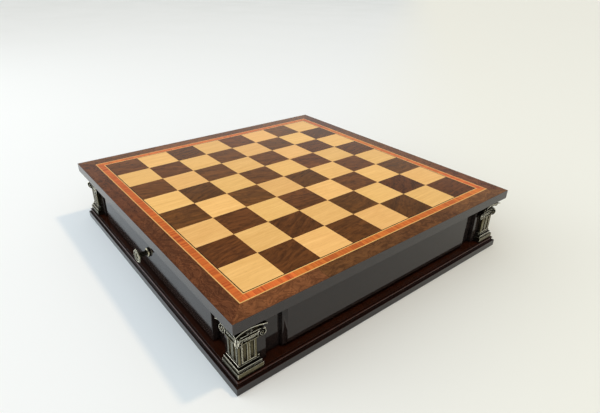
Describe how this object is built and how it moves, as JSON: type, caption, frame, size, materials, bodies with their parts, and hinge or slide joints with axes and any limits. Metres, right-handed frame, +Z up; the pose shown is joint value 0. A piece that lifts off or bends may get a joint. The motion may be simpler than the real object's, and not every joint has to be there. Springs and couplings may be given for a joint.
{
  "type": "chess box with drawers",
  "caption": "Square inlaid chessboard on a low black case with corner columns of antique brass, a moulded base, and a knobbed drawer in the front and in the back.",
  "frame": {"origin": "centre of the square footprint, on the table under the middle of the board", "axes": "+Z up, -Y towards the person who faces the front drawer, +X to that person's right"},
  "size_m": [0.467, 0.4746, 0.095],
  "materials": {
    "black_lacquer": "gloss lacquer, near black",
    "dark_moulding": "gloss lacquer, dark red-brown",
    "pale_carcass_wood": "matt, unfinished",
    "antique_brass": "antique, darkened in the hollows",
    "green_felt": "felt",
    "maple_veneer": "gloss lacquer",
    "walnut_veneer": "gloss lacquer",
    "dark_line_veneer": "gloss lacquer",
    "light_line_veneer": "gloss lacquer",
    "padauk_veneer": "gloss lacquer",
    "burl_veneer": "gloss lacquer",
    "steel": "plain steel"
  },
  "bodies": {
    "cabinet": {"base_felt": "green_felt", "base_board": "pale_carcass_wood", "base_moulding_right": "dark_moulding", "base_moulding_back": "dark_moulding", "base_moulding_left": "dark_moulding", "base_moulding_front": "dark_moulding", "post_back_right": "black_lacquer", "column_back_right": "antique_brass", "post_back_left": "black_lacquer", "column_back_left": "antique_brass", "post_front_left": "black_lacquer", "column_front_left": "antique_brass", "post_front_right": "black_lacquer", "column_front_right": "antique_brass", "side_wall_right": "black_lacquer", "side_panel_right": "black_lacquer", "guide_right": "pale_carcass_wood", "kicker_right": "pale_carcass_wood", "side_wall_left": "black_lacquer", "side_panel_left": "black_lacquer", "guide_left": "pale_carcass_wood", "kicker_left": "pale_carcass_wood", "front_stile_left": "black_lacquer", "front_stile_right": "black_lacquer", "front_rail": "black_lacquer", "front_drawer_stop": "pale_carcass_wood", "back_stile_left": "black_lacquer", "back_stile_right": "black_lacquer", "back_rail": "black_lacquer", "back_drawer_stop": "pale_carcass_wood", "divider": "pale_carcass_wood", "top_core": "pale_carcass_wood", "top_edging": "black_lacquer", "light_squares": "maple_veneer", "dark_squares": "walnut_veneer", "dark_stringing": "dark_line_veneer", "light_stringing": "light_line_veneer", "crossband": "padauk_veneer", "burl_border": "burl_veneer"},
    "front_drawer": {"front_drawer_front": "black_lacquer", "front_drawer_left_side": "pale_carcass_wood", "front_drawer_right_side": "pale_carcass_wood", "front_drawer_back": "pale_carcass_wood", "front_drawer_bottom": "pale_carcass_wood", "front_drawer_lining": "green_felt", "front_drawer_partition": "pale_carcass_wood", "front_knob": "antique_brass", "front_rosette": "antique_brass", "front_knob_screw": "steel"},
    "back_drawer": {"back_drawer_front": "black_lacquer", "back_drawer_left_side": "pale_carcass_wood", "back_drawer_right_side": "pale_carcass_wood", "back_drawer_back": "pale_carcass_wood", "back_drawer_bottom": "pale_carcass_wood", "back_drawer_lining": "green_felt", "back_drawer_partition": "pale_carcass_wood", "back_knob": "antique_brass", "back_rosette": "antique_brass", "back_knob_screw": "steel"}
  },
  "joints": [
    {"name": "front_drawer_slide", "type": "slide", "parent": "cabinet", "child": "front_drawer", "axis": [0, -1, 0], "range_m": [0, 0.15]},
    {"name": "back_drawer_slide", "type": "slide", "parent": "cabinet", "child": "back_drawer", "axis": [0, 1, 0], "range_m": [0, 0.15]}
  ]
}
